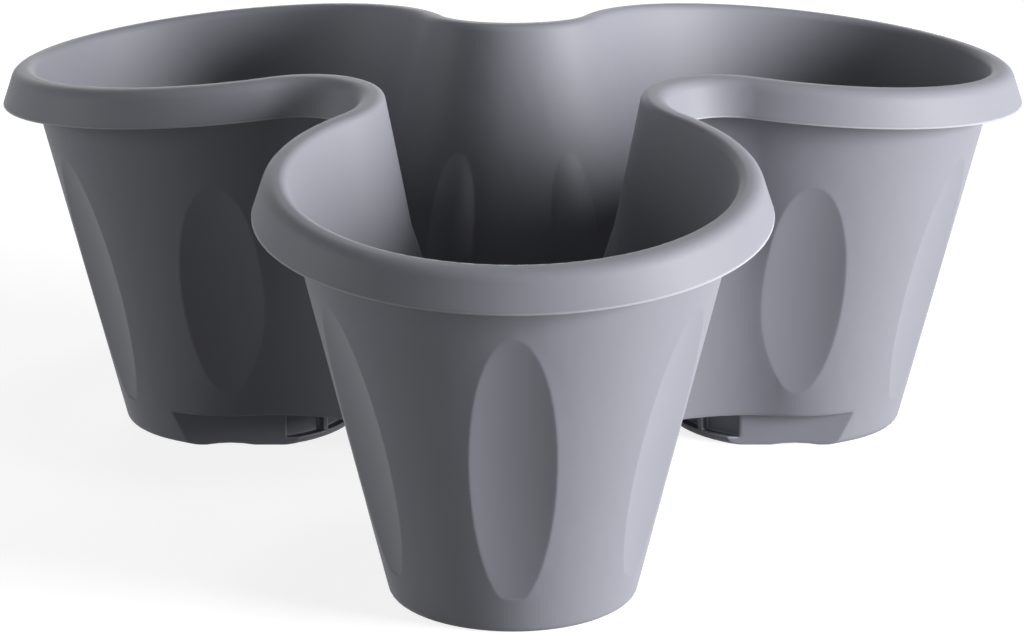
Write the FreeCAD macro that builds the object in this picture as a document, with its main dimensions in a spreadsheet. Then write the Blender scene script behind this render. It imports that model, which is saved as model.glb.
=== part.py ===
import FreeCAD, Part
import Sketcher
import math
import os

os.makedirs("parts", exist_ok=True)
doc = FreeCAD.newDocument("herb_planter")

# Driving sizes in millimetres, angles in degrees
sheet = doc.addObject("Spreadsheet::Sheet", "sizes")
driving_sizes = [
    ("rim_radius", 77.3, "radius of the rim's top line round a lobe"),
    ("lobe_gap", 35.45, "smallest gap between the lips of two lobes"),
    ("waist_share", 0.7814, "from the middle to that line between two lobes, as a share of rim_radius"),
    ("rim_height", 136.2, "height of the rim at the outer end of a lobe"),
    ("waist_rise", 16.3, "how much higher the rim is between two lobes"),
    ("rim_inset", 0.3, "from the rim's top line in to the wall's outer face, round a lobe"),
    ("waist_inset", 1.4, "the same between two lobes"),
    ("wall_thickness", 2.4, "thickness of walls and floor"),
    ("foot_height", 13.2, "height of the feet under the body"),
    ("foot_waist", 33.7, "from the middle to the wall between two lobes, above the feet"),
    ("base_radius", 41.8, "radius of a foot where it stands"),
    ("base_reach", 5.0, "how far a foot reaches in towards the middle"),
    ("base_rounding", 2.4, "rounding of a foot's lower edge"),
    ("base_recess", 1.2, "how far the underside of a foot is raised inside its ring"),
    ("base_ring", 5.0, "width of the ring a foot stands on"),
    ("facet_distance", 39.3, "from the middle of a foot to its two flat faces"),
    ("arch_width", 18.0, "width of the shallow arch under a flat face"),
    ("arch_height", 0.8, "height of that arch"),
    ("notch_angle", 71.0, "angle of the stacking notch in a foot's inner side"),
    ("notch_depth", 3.0, "depth of the stacking notch"),
    ("notch_floor", 3.0, "height of the plate below the stacking notch"),
    ("notch_rib", 2.0, "width of the ribs in the stacking notch"),
    ("rib_angle", 12.0, "angle from the inward direction to each notch rib"),
    ("lip_overhang", 8.9, "from the rim's top line out to the lip's lower edge"),
    ("lip_drop", 13.5, "from the rim's top line down to the lip's lower edge"),
    ("lip_flare", 4.5, "how much of the overhang the sloped skirt takes up"),
    ("lip_thickness", 2.0, "thickness of the skirt"),
    ("crest_thickness", 3.2, "thickness of the rim's top over the hollow lip"),
    ("crest_outer", 4.6, "rounding of the rim's outer top edge"),
    ("crest_inner", 2.6, "rounding of the rim's inner top edge"),
    ("flute_low", 11.0, "height of a flute's lower tip"),
    ("flute_headroom", 26.2, "how far below a lobe's rim a flute's upper tip ends"),
    ("flute_depth", 2.9, "depth of a flute in its middle"),
    ("flute_bend", 92.0, "radius of a flute's hollow across it"),
    ("quarter_angle", 61.0, "direction of the flutes beside the outermost one"),
    ("side_angle_low", 125.0, "direction of a side flute's lower tip, from its lobe's outward one"),
    ("side_angle_high", 114.5, "direction of a side flute's upper tip"),
    ("side_flute_low", 24.0, "height of a side flute's lower tip"),
    ("side_headroom", 29.2, "how far below that rim a side flute ends"),
    ("waist_flute_angle", 26.0, "direction of a waist flute round the waist's own centre"),
    ("waist_flute_low", 24.0, "height of a waist flute's lower tip"),
    ("waist_flute_headroom", 32.2, "how far below that rim a waist flute ends"),
    ("waist_flute_depth", 2.8, "depth of a waist flute"),
    ("waist_flute_bend", 12.4, "radius of a waist flute's hollow across it"),
    ("drain_radius", 6.0, "radius of the drain hole in each foot"),
    ("plug_clearance", 0.06, "gap round a plug's shank in its hole"),
    ("plug_flange_radius", 11.0, "radius of a plug's flange"),
    ("plug_flange_thickness", 1.8, "thickness of a plug's flange"),
    ("plug_flange_rounding", 0.6, "rounding of a plug's flange"),
    ("plug_tip_taper", 0.9, "how much narrower the tip of a plug's shank is"),
    ("plug_tip_gap", 0.3, "from a plug's tip to the surface the planter stands on"),
    ("plug_grip_radius", 4.2, "radius of the knob that a plug is pulled by"),
    ("plug_grip_height", 7.0, "height of that knob above the flange"),
    ("plug_grip_rounding", 1.2, "rounding of the knob"),
    ("plug_neck_radius", 2.6, "radius of the neck under the knob"),
    ("plug_neck_height", 3.2, "height of that neck"),
    ("overrun", 8.0, "how far cutting shapes reach past what they cut"),
]
for row, (alias, value, note) in enumerate(driving_sizes, start=1):
    sheet.set(f"A{row}", note)
    sheet.set(f"B{row}", str(value))
    sheet.setAlias(f"B{row}", alias)
doc.recompute()


def size(alias):
    return float(sheet.get(alias))


UP = FreeCAD.Vector(0, 0, 1)
LOBE_COUNT = 3
LOBE_STEP = 360 / LOBE_COUNT
FRONT = -90
OUTWARD = [FRONT + step * LOBE_STEP for step in range(LOBE_COUNT)]


def polar(radius, angle, height=0):
    turn = math.radians(angle)
    return FreeCAD.Vector(radius * math.cos(turn), radius * math.sin(turn), height)


# The lobes stand as far apart as their lips and the gap between them need
half_spacing = size("rim_radius") + size("lip_overhang") + size("lobe_gap") / 2
lobe_offset = half_spacing / math.sin(math.radians(LOBE_STEP / 2))
rim_waist = size("waist_share") * size("rim_radius")


# The rim line lies on a shallow dome: highest at the waists, lowest at the lobes' ends
def dome(shift, drop):
    tip_radius = lobe_offset + size("rim_radius") + shift
    tip_height = size("rim_height") - drop
    waist_radius = rim_waist + shift
    waist_height = tip_height + size("waist_rise")
    spread = tip_radius**2 - waist_radius**2 + tip_height**2 - waist_height**2
    centre_height = spread / (tip_height - waist_height) / 2
    radius = math.hypot(tip_radius, tip_height - centre_height)
    return radius, centre_height


def dome_height(distance):
    radius, centre_height = dome(0, 0)
    return centre_height + math.sqrt(radius**2 - distance**2)


def under_dome(shift, drop):
    radius, centre_height = dome(shift, drop)
    ball = Part.makeSphere(radius)
    ball.rotate(FreeCAD.Vector(0, 0, 0), FreeCAD.Vector(0, 1, 0), 90)
    ball.translate(UP * centre_height)
    return ball


# The lobes widen upwards, and their walls meet the rim line at its height beside a lobe
side_height = dome_height(math.hypot(lobe_offset, size("rim_radius")))
wall_slope = (size("rim_radius") - size("rim_inset") - size("base_radius")) / side_height
wall_offset = lobe_offset + wall_slope * (side_height - size("rim_height"))
waist_height = size("rim_height") + size("waist_rise")
waist_top = rim_waist - size("waist_inset")
waist_slope = (waist_top - size("foot_waist")) / (waist_height - size("foot_height"))
skirt_slope = size("lip_flare") / size("lip_drop")
skirt_offset = lobe_offset - skirt_slope * (side_height - size("rim_height"))
floor_height = size("base_recess") + size("wall_thickness")


def wall_lobe(height):
    return size("base_radius") + wall_slope * height


def wall_waist(height):
    return waist_top - waist_slope * (waist_height - height)


def skirt_lobe(height):
    lower_edge = side_height - size("lip_drop")
    return size("rim_radius") + size("lip_overhang") - skirt_slope * (height - lower_edge)


def skirt_waist(height):
    lower_edge = waist_height - size("lip_drop")
    return rim_waist + size("lip_overhang") - skirt_slope * (height - lower_edge)


# The arc between two lobes touches both of them
def bend_radius(offset, lobe, waist):
    return (lobe**2 - waist**2 + waist * offset - offset**2) / (2 * waist - offset - 2 * lobe)


# The outline of three round lobes joined by hollow waists
def trefoil(height, offset, lobe, waist):
    bend = bend_radius(offset, lobe, waist)
    edges = []
    for outward in OUTWARD:
        lobe_centre = polar(offset, outward, height)
        next_centre = polar(offset, outward + LOBE_STEP, height)
        bend_before = polar(waist + bend, outward - LOBE_STEP / 2, height)
        bend_after = polar(waist + bend, outward + LOBE_STEP / 2, height)
        start = lobe_centre + (bend_before - lobe_centre).normalize() * lobe
        end = lobe_centre + (bend_after - lobe_centre).normalize() * lobe
        tip = lobe_centre + polar(lobe, outward)
        next_start = next_centre + (bend_after - next_centre).normalize() * lobe
        inmost = polar(waist, outward + LOBE_STEP / 2, height)
        edges.append(Part.Arc(start, tip, end).toShape())
        edges.append(Part.Arc(end, inmost, next_start).toShape())
    return Part.Wire(edges)


def body_form(low, inset):
    sections = []
    for height in (low, waist_height + size("overrun")):
        lobe = wall_lobe(height) - inset
        sections.append(trefoil(height, wall_offset, lobe, wall_waist(height) - inset))
    return Part.makeLoft(sections, True, True)


# The lip: a sloped skirt that hangs from the rim, hollow underneath
def skirt_form(inset):
    sections = []
    for height in (size("rim_height") - size("lip_drop") - size("overrun"),
                   waist_height + size("overrun")):
        lobe = skirt_lobe(height) - inset
        sections.append(trefoil(height, skirt_offset, lobe, skirt_waist(height) - inset))
    return Part.makeLoft(sections, True, True)


def lip_form():
    skirt = skirt_form(0).cut(under_dome(size("lip_overhang"), size("lip_drop")))
    hollow = skirt_form(size("lip_thickness")).common(under_dome(0, size("crest_thickness")))
    return skirt.cut(hollow)


# A flute: a shallow hollow with pointed ends. Its tool is a slice of a large ring, whose
# thickness gives the hollow's bend across and whose turn gives its bend from tip to tip
WIDTH_SHARE = 1.3
CREST_SHARE = 0.5


def flute_tool(low_tip, high_tip, outward, depth, across, wall_bend, growth):
    along = high_tip - low_tip
    length = along.Length
    along.normalize()
    outward = (outward - along * outward.dot(along)).normalize()
    sideways = along.cross(outward)
    half_width = min(WIDTH_SHARE * math.sqrt(2 * depth / (1 / across + wall_bend)), across)
    bow = (length / 2) ** 2 / (2 * depth)
    bend = across + growth
    rise = bend - math.sqrt(bend**2 - half_width**2)
    middle = (low_tip + high_tip) * 0.5
    deepest = middle - outward * (depth + growth)
    left = deepest + outward * rise - sideways * half_width
    right = deepest + outward * rise + sideways * half_width
    lift = outward * (max(depth - rise, 0) + growth + size("overrun"))
    profile = Part.Face(Part.Wire([
        Part.Arc(left, deepest, right).toShape(),
        Part.LineSegment(right, right + lift).toShape(),
        Part.LineSegment(right + lift, left + lift).toShape(),
        Part.LineSegment(left + lift, left).toShape(),
    ]))
    turn_centre = middle + outward * (bow - depth)
    swing = math.degrees(math.asin((length / 2 + size("overrun")) / bow))
    profile.rotate(turn_centre, sideways, -swing)
    return profile.revolve(turn_centre, sideways, 2 * swing)


def lobe_flute(outward, low, high, low_angle, high_angle, growth):
    tips = []
    for height, angle in ((low, low_angle), (high, high_angle)):
        centre = polar(wall_offset, outward, height)
        tips.append(centre + polar(wall_lobe(height), outward + angle))
    normal = polar(1, outward + (low_angle + high_angle) / 2) - UP * wall_slope
    wall_bend = 1 / wall_lobe((low + high) / 2)
    return flute_tool(*tips, normal, size("flute_depth"), size("flute_bend"), wall_bend, growth)


def waist_bend(height):
    return bend_radius(wall_offset, wall_lobe(height), wall_waist(height))


def waist_flute(waist_angle, side, growth):
    low = size("waist_flute_low")
    high = size("rim_height") - size("waist_flute_headroom")
    inward = waist_angle + 180 + side * size("waist_flute_angle")
    tips = []
    for height in (low, high):
        centre = polar(wall_waist(height) + waist_bend(height), waist_angle, height)
        tips.append(centre + polar(waist_bend(height), inward))
    normal = polar(-1, inward) - UP * waist_slope
    wall_bend = -1 / waist_bend((low + high) / 2)
    depth = size("waist_flute_depth")
    return flute_tool(*tips, normal, depth, size("waist_flute_bend"), wall_bend, growth)


def flutes(growth):
    low = size("flute_low")
    high = size("rim_height") - size("flute_headroom")
    side_high = size("rim_height") - size("side_headroom")
    tools = []
    for outward in OUTWARD:
        for angle in (-size("quarter_angle"), 0, size("quarter_angle")):
            tools.append(lobe_flute(outward, low, high, angle, angle, growth))
        for side in (-1, 1):
            tools.append(lobe_flute(outward, size("side_flute_low"), side_high,
                                    side * size("side_angle_low"), side * size("side_angle_high"), growth))
            tools.append(waist_flute(outward + LOBE_STEP / 2, side, growth))
    return tools


# A foot carries on its lobe's cone, and is drawn out towards the planter's middle
def foot_outline(outward, height, inset):
    centre = polar(wall_offset, outward, height)
    inner = polar(wall_offset - size("base_reach"), outward, height)
    radius = wall_lobe(height) - inset
    left = polar(radius, outward + 90)
    right = polar(radius, outward - 90)
    return Part.Wire([
        Part.Arc(centre + right, centre + polar(radius, outward), centre + left).toShape(),
        Part.LineSegment(centre + left, inner + left).toShape(),
        Part.Arc(inner + left, inner - polar(radius, outward), inner + right).toShape(),
        Part.LineSegment(inner + right, centre + right).toShape(),
    ])


def foot_block(outward, low, high, inset):
    sections = [foot_outline(outward, height, inset) for height in (low, high)]
    return Part.makeLoft(sections, True, True)


def facet_tools(outward, growth):
    reach = size("base_radius")
    tools = []
    for side in (-1, 1):
        tool = Part.makeBox(reach, 2 * reach, size("foot_height") + growth + size("overrun"))
        tool.translate(FreeCAD.Vector(size("facet_distance") - growth, -reach, -size("overrun")))
        tool.rotate(FreeCAD.Vector(0, 0, 0), UP, outward + side * LOBE_STEP)
        tool.translate(polar(wall_offset, outward))
        tools.append(tool)
    return tools


# The notch lets planters nest when they are stacked, and two ribs stiffen it
def notch_tool(outward, growth):
    low = size("notch_floor") - growth
    height = size("foot_height") + growth - low
    inner = size("base_radius") - size("notch_depth") - growth
    centre = polar(wall_offset - size("base_reach"), outward, low)
    angle = size("notch_angle") + 2 * math.degrees(growth / inner)
    sector = Part.makeCylinder(size("base_radius") + size("overrun"), height, centre, UP, angle)
    sector.rotate(centre, UP, outward + 180 - angle / 2)
    return sector.cut(Part.makeCylinder(inner, height, centre, UP))


def notch_ribs(outward):
    foot = foot_block(outward, 0, size("foot_height"), 0)
    height = size("foot_height") - size("notch_floor")
    ribs = []
    for side in (-1, 1):
        rib = Part.makeBox(size("base_radius"), size("notch_rib"), height)
        rib.translate(FreeCAD.Vector(0, -size("notch_rib") / 2, size("notch_floor")))
        rib.rotate(FreeCAD.Vector(0, 0, 0), UP, outward + 180 + side * size("rib_angle"))
        rib.translate(polar(wall_offset - size("base_reach"), outward))
        ribs.append(rib.common(foot))
    return ribs


# A shallow arch under each flat face lets water run out from under the foot
def arch_tools(outward):
    rise = size("arch_height")
    radius = ((size("arch_width") / 2) ** 2 + rise**2) / (2 * rise)
    tools = []
    for side in (-1, 1):
        direction = outward + side * LOBE_STEP
        start = polar(wall_offset, outward, rise - radius)
        start += polar(size("facet_distance") - size("base_ring"), direction)
        tools.append(Part.makeCylinder(radius, 2 * size("base_ring"), start, polar(1, direction)))
    return tools


def foot_form(outward):
    foot = foot_block(outward, 0, size("foot_height"), 0)
    lower_edges = [edge for edge in foot.Edges if edge.BoundBox.ZMax < size("base_rounding")]
    foot = foot.makeFillet(size("base_rounding"), lower_edges)
    foot = foot.cut(facet_tools(outward, 0) + [notch_tool(outward, 0)])
    foot = foot.fuse(notch_ribs(outward))
    recess = foot_block(outward, -size("overrun"), size("base_recess"), size("base_ring"))
    recess = recess.cut(facet_tools(outward, size("base_ring")))
    drain = Part.makeCylinder(size("drain_radius"), size("foot_height"), polar(wall_offset, outward))
    return foot.cut(arch_tools(outward) + [recess, drain])


def foot_cavity(outward):
    wall = size("wall_thickness")
    hollow = foot_block(outward, floor_height, size("foot_height") + wall, wall)
    return hollow.cut(facet_tools(outward, wall) + [notch_tool(outward, wall)])


def cavity_form():
    wall = size("wall_thickness")
    hollow = body_form(size("foot_height") + wall, wall).cut(flutes(wall))
    return hollow.fuse([foot_cavity(outward) for outward in OUTWARD])


# The loops of edges along the rim's top, from the shortest, which is the inner one
def crest_loops(shape):
    domes = [face for face in shape.Faces if face.Surface.TypeId == "Part::GeomSphere"]
    crest = max(domes, key=lambda face: face.BoundBox.ZMax)
    return sorted(crest.Wires, key=lambda wire: wire.Length)


# The rim's rounding stays well inside the bend of the skirt between two lobes
def crest_rounding():
    bend = bend_radius(skirt_offset, skirt_lobe(waist_height), skirt_waist(waist_height))
    return min(size("crest_outer"), CREST_SHARE * bend)


def pot_shape():
    outside = body_form(size("foot_height"), 0).fuse(lip_form()).common(under_dome(0, 0))
    outside = outside.makeFillet(crest_rounding(), crest_loops(outside)[-1].Edges)
    outside = outside.cut(flutes(0)).fuse([foot_form(outward) for outward in OUTWARD])
    pot = outside.cut(cavity_form())
    return pot.makeFillet(size("crest_inner"), crest_loops(pot)[0].Edges)


# A plug is turned: a tapered shank in the drain hole, a flange on the floor and a knob to pull
def plug_corners():
    shank = "sizes.drain_radius - sizes.plug_clearance"
    shank_length = "sizes.base_recess + sizes.wall_thickness - sizes.plug_tip_gap"
    knob_foot = "sizes.plug_flange_thickness + sizes.plug_neck_height"
    knob_top = "sizes.plug_flange_thickness + sizes.plug_grip_height"
    return [
        ("0", "-(" + shank_length + ")"),
        (shank + " - sizes.plug_tip_taper", "-(" + shank_length + ")"),
        (shank, "0"),
        ("sizes.plug_flange_radius", "0"),
        ("sizes.plug_flange_radius", "sizes.plug_flange_thickness"),
        ("sizes.plug_neck_radius", "sizes.plug_flange_thickness"),
        ("sizes.plug_neck_radius", knob_foot),
        ("sizes.plug_grip_radius", knob_foot),
        ("sizes.plug_grip_radius", knob_top),
        ("0", knob_top),
    ]


def plug_sketch(body):
    sketch = body.newObject("Sketcher::SketchObject", body.Name + "_profile")
    upright = next(item for item in body.Origin.OriginFeatures if item.Role == "XZ_Plane")
    sketch.AttachmentSupport = [(upright, "")]
    sketch.MapMode = "FlatFace"
    corners = plug_corners()
    points = []
    for across, height in corners:
        points.append(FreeCAD.Vector(float(sheet.evalExpression(across)),
                                     float(sheet.evalExpression(height)), 0))
    for index, point in enumerate(points):
        sketch.addGeometry(Part.LineSegment(point, points[(index + 1) % len(points)]), False)
    for index in range(len(points)):
        following = (index + 1) % len(points)
        sketch.addConstraint(Sketcher.Constraint("Coincident", index, 2, following, 1))
    for index, (across, height) in enumerate(corners):
        for direction, value, expression in (("DistanceX", points[index].x, across),
                                             ("DistanceY", points[index].y, height)):
            number = sketch.addConstraint(Sketcher.Constraint(direction, -1, 1, index, 1, value))
            sketch.setExpression(f"Constraints[{number}]", expression)
    return sketch


def ring_edge(shape, radius, height):
    for number, edge in enumerate(shape.Edges, start=1):
        centre = FreeCAD.Vector(0, 0, height)
        if hasattr(edge.Curve, "Radius") and edge.Curve.Center.isEqual(centre, Part.Precision.confusion()):
            if math.isclose(edge.Curve.Radius, radius):
                return f"Edge{number}"


def drain_plug(name, outward):
    body = doc.addObject("PartDesign::Body", name)
    body.Label = name
    sketch = plug_sketch(body)
    turned = body.newObject("PartDesign::Revolution", name + "_turned")
    turned.Profile = sketch
    turned.ReferenceAxis = (sketch, ["V_Axis"])
    turned.Angle = 360
    doc.recompute()
    flange_top = size("plug_flange_thickness")
    knob_foot = flange_top + size("plug_neck_height")
    knob_top = flange_top + size("plug_grip_height")
    knob = body.newObject("PartDesign::Fillet", name + "_knob")
    knob.Base = (turned, [ring_edge(turned.Shape, size("plug_grip_radius"), height)
                          for height in (knob_foot, knob_top)])
    knob.setExpression("Radius", "sizes.plug_grip_rounding")
    doc.recompute()
    flange = body.newObject("PartDesign::Fillet", name + "_flange")
    flange.Base = (knob, [ring_edge(knob.Shape, size("plug_flange_radius"), flange_top)])
    flange.setExpression("Radius", "sizes.plug_flange_rounding")
    return body


pot = doc.addObject("Part::Feature", "pot")
pot.Label = "pot"
pot.Shape = pot_shape()

# The origin lies on the standing surface, under the middle of the planter's overall box
overall = pot.Shape.optimalBoundingBox()
centring = FreeCAD.Vector(-overall.Center.x, -overall.Center.y, 0)
pot.Placement.Base = centring

pieces = [pot]
for side, outward in zip(("front", "right", "left"), OUTWARD):
    plug = drain_plug("drain_plug_" + side, outward)
    plug.Placement.Base = centring + polar(wall_offset, outward, floor_height)
    pieces.append(plug)
doc.recompute()

for item in doc.Objects:
    if "Invalid" in item.State or "Error" in item.State:
        raise RuntimeError(f"{item.Name} did not rebuild")
for piece in pieces:
    if piece.Shape.isNull() or not piece.Shape.isValid() or len(piece.Shape.Solids) != 1:
        raise RuntimeError(f"{piece.Label} is not one valid solid")
for piece in pieces:
    piece.Shape.exportStep(f"parts/{piece.Label}.step")
    box = piece.Shape.optimalBoundingBox()
    print(piece.Label, f"{box.XLength:.1f} x {box.YLength:.1f} x {box.ZLength:.1f} mm")
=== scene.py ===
import bpy
import math
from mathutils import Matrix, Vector


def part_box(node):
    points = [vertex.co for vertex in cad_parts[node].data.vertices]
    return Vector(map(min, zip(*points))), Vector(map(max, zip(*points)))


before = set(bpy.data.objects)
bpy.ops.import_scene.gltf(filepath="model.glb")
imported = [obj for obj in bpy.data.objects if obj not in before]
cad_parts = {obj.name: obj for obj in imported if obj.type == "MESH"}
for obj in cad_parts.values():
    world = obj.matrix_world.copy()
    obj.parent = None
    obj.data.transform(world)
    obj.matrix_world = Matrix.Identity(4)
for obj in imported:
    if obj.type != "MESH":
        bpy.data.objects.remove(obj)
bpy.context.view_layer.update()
print("frame loaded:", len(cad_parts), "nodes")


# sRGB hex to the linear values that nodes and lamps take
def linearColour(hexCode):
    channels = [int(hexCode[i:i + 2], 16) / 255 for i in (1, 3, 5)]
    linear = [c / 12.92 if c <= 0.04045 else ((c + 0.055) / 1.055) ** 2.4 for c in channels]
    return (*linear, 1.0)


# adds a node: settings go to its sockets or its own properties, links to its sockets
def addNode(tree, kind, settings=None, links=None):
    node = tree.nodes.new(kind)
    for name, value in (settings or {}).items():
        if name in node.inputs and not hasattr(node, name):
            node.inputs[name].default_value = value
        else:
            setattr(node, name, value)
    for name, output in (links or {}).items():
        tree.links.new(output, node.inputs[name])
    return node


def newMaterial(name):
    material = bpy.data.materials.new(name)
    material.use_nodes = True
    material.node_tree.nodes.clear()
    return material, material.node_tree


def metres(millimetres):
    return millimetres / 1000


# a noise pattern in the piece's own space, with cells of the stated size
def addNoise(tree, place, pattern):
    return addNode(tree, "ShaderNodeTexNoise",
                   {"Scale": 1 / metres(pattern["cellMm"]), "Detail": pattern["detail"],
                    "Roughness": pattern["fade"]},
                   {"Vector": place.outputs["Object"]})


# presses a pattern into the surface, on top of the surface direction that it is given
def addRelief(tree, pattern, height, normal):
    return addNode(tree, "ShaderNodeBump",
                   {"Strength": pattern["strength"], "Distance": metres(pattern["depthMm"])},
                   {"Height": height, "Normal": normal})


# polypropylene, injection moulded in a fine spark-eroded tool, slate grey masterbatch:
# an even, slightly bluish grey with a soft broad sheen and a grain finer than a pinhead
slatePolypropylene = {
    "colour": "#75767d",
    "paleColour": "#7e7f88",
    "roughness": 0.57,
    "roughnessSpread": 0.05,
    "specularLevel": 0.27,
    "ior": 1.49,
    # the plastic is a little paler in places, as its pigment never mixes quite evenly
    "clouds": {"cellMm": 90, "detail": 3.0, "fade": 0.55},
    # the real grain is about 0.2 mm: it is drawn coarser here, so that it shows
    "grain": {"cellMm": 0.9, "detail": 2.0, "fade": 0.6, "depthMm": 0.022, "strength": 0.6},
    # the slight waviness of a thin moulded wall
    "flow": {"cellMm": 55, "detail": 1.0, "fade": 0.4, "depthMm": 0.10, "strength": 0.5},
    # edges are softened by this much, and a paler colour is painted along them: a painted
    # highlight where a rounded edge would catch the light
    "edgeMm": 1.6,
    "edgeSamples": 8,
    "edgeHighlightColour": "#b8babf",
    # the painted edge highlight begins and is full where the softened edge has turned this far
    # (cosines)
    "edgeHighlightBend": (0.97, 0.82),
}

# the same plastic with more black in it, which makes the plugs easy to find
darkPolypropylene = {
    **slatePolypropylene,
    "colour": "#3f4045",
    "paleColour": "#46474d",
    # the painted edge highlight, darker to suit the darker plastic
    "edgeHighlightColour": "#6a6b71",
}


# in a Mix node set to RGBA, inputs 6 and 7 and output 2 are the colours
def makePolypropylene(name, look):
    material, tree = newMaterial(name)
    place = addNode(tree, "ShaderNodeTexCoord")
    clouds = addNoise(tree, place, look["clouds"])
    grain = addNoise(tree, place, look["grain"])
    flow = addNoise(tree, place, look["flow"])
    colour = addNode(tree, "ShaderNodeMix", {"data_type": "RGBA"})
    tree.links.new(clouds.outputs["Fac"], colour.inputs[0])
    colour.inputs[6].default_value = linearColour(look["colour"])
    colour.inputs[7].default_value = linearColour(look["paleColour"])
    low = look["roughness"] - look["roughnessSpread"]
    high = look["roughness"] + look["roughnessSpread"]
    roughness = addNode(tree, "ShaderNodeMapRange",
                        {"To Min": low, "To Max": high}, {"Value": grain.outputs["Fac"]})
    edges = addNode(tree, "ShaderNodeBevel",
                    {"Radius": metres(look["edgeMm"]), "samples": look["edgeSamples"]})
    surface = addNode(tree, "ShaderNodeNewGeometry")
    # painted highlight: a paler colour is mixed in along the edges, where the softened edge's
    # direction turns away from the surface's
    bend = addNode(tree, "ShaderNodeVectorMath", {"operation": "DOT_PRODUCT"})
    tree.links.new(edges.outputs["Normal"], bend.inputs[0])
    tree.links.new(surface.outputs["Normal"], bend.inputs[1])
    begins, full = look["edgeHighlightBend"]
    edgeHighlightMask = addNode(tree, "ShaderNodeMapRange", {"From Min": begins, "From Max": full},
                      {"Value": bend.outputs["Value"]})
    edgeHighlighted = addNode(tree, "ShaderNodeMix", {"data_type": "RGBA"})
    tree.links.new(edgeHighlightMask.outputs["Result"], edgeHighlighted.inputs[0])
    tree.links.new(colour.outputs[2], edgeHighlighted.inputs[6])
    edgeHighlighted.inputs[7].default_value = linearColour(look["edgeHighlightColour"])
    waves = addRelief(tree, look["flow"], flow.outputs["Fac"], edges.outputs["Normal"])
    pits = addRelief(tree, look["grain"], grain.outputs["Fac"], waves.outputs["Normal"])
    shader = addNode(tree, "ShaderNodeBsdfPrincipled",
                     {"IOR": look["ior"], "Specular IOR Level": look["specularLevel"]},
                     {"Base Color": edgeHighlighted.outputs[2], "Roughness": roughness.outputs["Result"],
                      "Normal": pits.outputs["Normal"]})
    addNode(tree, "ShaderNodeOutputMaterial", {}, {"Surface": shader.outputs["BSDF"]})
    return material


potPlastic = makePolypropylene("slatePolypropylene", slatePolypropylene)
plugPlastic = makePolypropylene("darkPolypropylene", darkPolypropylene)


def dress(node, material):
    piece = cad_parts[node]
    piece.data.materials.clear()
    piece.data.materials.append(material)


plugNodes = [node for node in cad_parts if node.startswith("drain_plug")]
dress("pot", potPlastic)
for node in plugNodes:
    dress(node, plugPlastic)
print("materials on")

# the middle between the three lobes lies between their drain plugs
plugMiddles = []
for node in plugNodes:
    low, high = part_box(node)
    plugMiddles.append((low + high) / 2)
planterAxis = sum(plugMiddles, Vector()) / len(plugMiddles)


# 1 for rays from the camera and for mirrored or transmitted ones, which show the white studio
def studioRays(tree):
    paths = addNode(tree, "ShaderNodeLightPath")
    mirrored = addNode(tree, "ShaderNodeMath", {"operation": "MAXIMUM"})
    tree.links.new(paths.outputs["Is Camera Ray"], mirrored.inputs[0])
    tree.links.new(paths.outputs["Is Glossy Ray"], mirrored.inputs[1])
    seen = addNode(tree, "ShaderNodeMath", {"operation": "MAXIMUM"})
    tree.links.new(mirrored.outputs[0], seen.inputs[0])
    tree.links.new(paths.outputs["Is Transmission Ray"], seen.inputs[1])
    return seen.outputs[0]


# the floor is white paper: it looks nearly as bright as the backdrop and keeps a soft shadow
whiteFloor = {
    "size": 6.0,
    "bounceColour": "#9a9a9a",
    "seenColour": "#a2a2a2",
    "cameraGlow": 0.83,
}


def makeFloor(look):
    bpy.ops.mesh.primitive_plane_add(size=look["size"], location=(0, 0, 0))
    floor = bpy.context.object
    floor.name = "floor"
    material, tree = newMaterial("whitePaper")
    bounce = addNode(tree, "ShaderNodeBsdfDiffuse", {"Color": linearColour(look["bounceColour"])})
    paper = addNode(tree, "ShaderNodeBsdfDiffuse", {"Color": linearColour(look["seenColour"])})
    glow = addNode(tree, "ShaderNodeEmission", {"Strength": look["cameraGlow"]})
    lit = addNode(tree, "ShaderNodeAddShader")
    tree.links.new(paper.outputs[0], lit.inputs[0])
    tree.links.new(glow.outputs[0], lit.inputs[1])
    choice = addNode(tree, "ShaderNodeMixShader", {}, {"Fac": studioRays(tree)})
    tree.links.new(bounce.outputs[0], choice.inputs[1])
    tree.links.new(lit.outputs[0], choice.inputs[2])
    addNode(tree, "ShaderNodeOutputMaterial", {}, {"Surface": choice.outputs[0]})
    floor.data.materials.append(material)


makeFloor(whiteFloor)

# the backdrop looks white, also in reflections, but the soft boxes give nearly all the light
studioWorld = {
    "ambientColour": "#eef1f6",
    "ambient": 0.02,
    "backdropColour": "#ffffff",
    "backdrop": 1.0,
}


def makeWorld(look):
    world = bpy.data.worlds.new("studio")
    bpy.context.scene.world = world
    world.use_nodes = True
    tree = world.node_tree
    tree.nodes.clear()
    ambient = addNode(tree, "ShaderNodeBackground",
                      {"Color": linearColour(look["ambientColour"]), "Strength": look["ambient"]})
    backdrop = addNode(tree, "ShaderNodeBackground",
                       {"Color": linearColour(look["backdropColour"]),
                        "Strength": look["backdrop"]})
    choice = addNode(tree, "ShaderNodeMixShader", {}, {"Fac": studioRays(tree)})
    tree.links.new(ambient.outputs[0], choice.inputs[1])
    tree.links.new(backdrop.outputs[0], choice.inputs[2])
    addNode(tree, "ShaderNodeOutputWorld", {}, {"Surface": choice.outputs[0]})


makeWorld(studioWorld)

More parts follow.
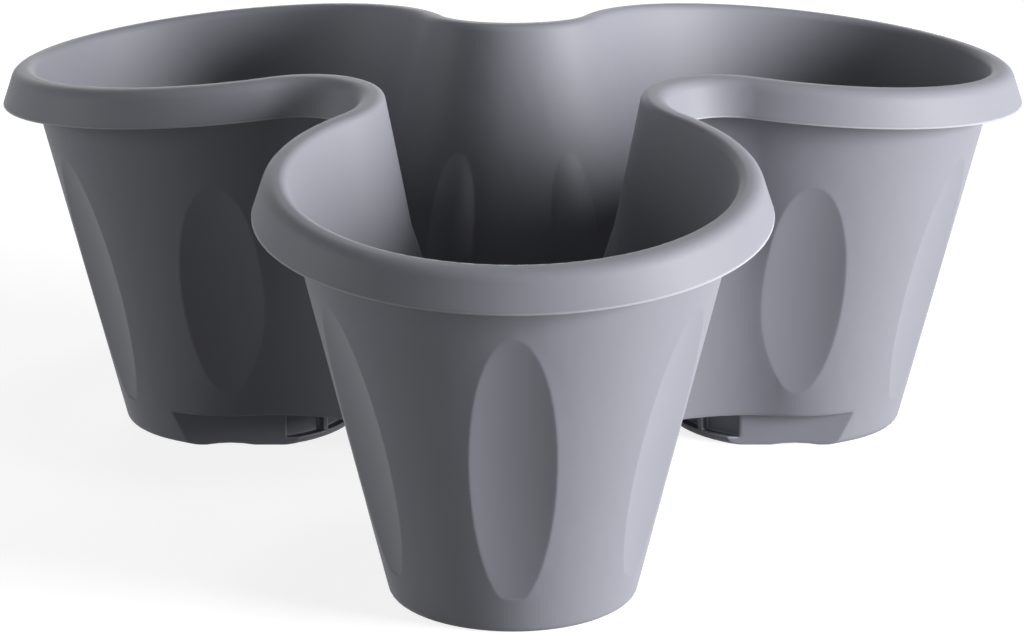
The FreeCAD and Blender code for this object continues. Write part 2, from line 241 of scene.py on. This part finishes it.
# soft boxes round the planter: place and aim in metres, size in metres, power in watts
softBoxes = {
    "keyRight": {
        "place": (1.95, -0.7, 0.53), "aim": (0, 0, 0.08), "size": (1.0, 0.9), "power": 107,
    },
    "leftEdge": {
        "place": (-1.9, -0.1, 0.4), "aim": (0, 0, 0.08), "size": (0.7, 0.8), "power": 10,
    },
    "frontFill": {
        "place": (-0.6, -2.0, 0.25), "aim": (0, 0, 0.08), "size": (1.0, 0.6), "power": 1.4,
    },
    "backSoft": {
        "place": (-0.3, 2.2, 0.7), "aim": (0, 0, 0.08), "size": (1.4, 0.9), "power": 11,
    },
    "topSoft": {
        "place": (0, 0, 1.9), "aim": (0, 0, 0), "size": (0.5, 0.5), "power": 4,
    },
}


def makeSoftBox(name, look):
    lamp = bpy.data.lights.new(name, "AREA")
    lamp.shape = "RECTANGLE"
    lamp.size, lamp.size_y = look["size"]
    lamp.energy = look["power"]
    holder = bpy.data.objects.new(name, lamp)
    bpy.context.scene.collection.objects.link(holder)
    holder.location = look["place"]
    aim = Vector(look["aim"]) - holder.location
    holder.rotation_euler = aim.to_track_quat("-Z", "Y").to_euler()


for name, look in softBoxes.items():
    makeSoftBox(name, look)
print("floor, world and soft boxes made")

# the photo's viewpoint: a long lens above the rim, looking down on the front lobe
viewpoint = {
    "distance": 1.3385,  # metres in front of the planter's axis
    "height": 0.4814,  # metres above the ground
    "tilt": 0.307,  # radians down from level
    "lensMm": 135.35,
    "sensorMm": 36.0,
    "axisColumn": 513,  # the picture's column in which the planter's axis stands
    "imageWidth": 1024,
    "clipStart": 0.05,
}


def makeCamera(look):
    camera = bpy.data.objects.new("camera", bpy.data.cameras.new("camera"))
    bpy.context.scene.collection.objects.link(camera)
    camera.location = (planterAxis.x, planterAxis.y - look["distance"], look["height"])
    camera.rotation_euler = (math.pi / 2 - look["tilt"], 0, 0)
    camera.data.sensor_width = look["sensorMm"]
    camera.data.lens = look["lensMm"]
    camera.data.shift_x = (look["imageWidth"] / 2 - look["axisColumn"]) / look["imageWidth"]
    camera.data.clip_start = look["clipStart"]
    bpy.context.scene.camera = camera


makeCamera(viewpoint)
bpy.context.scene.view_settings.view_transform = "Standard"
print("camera set")
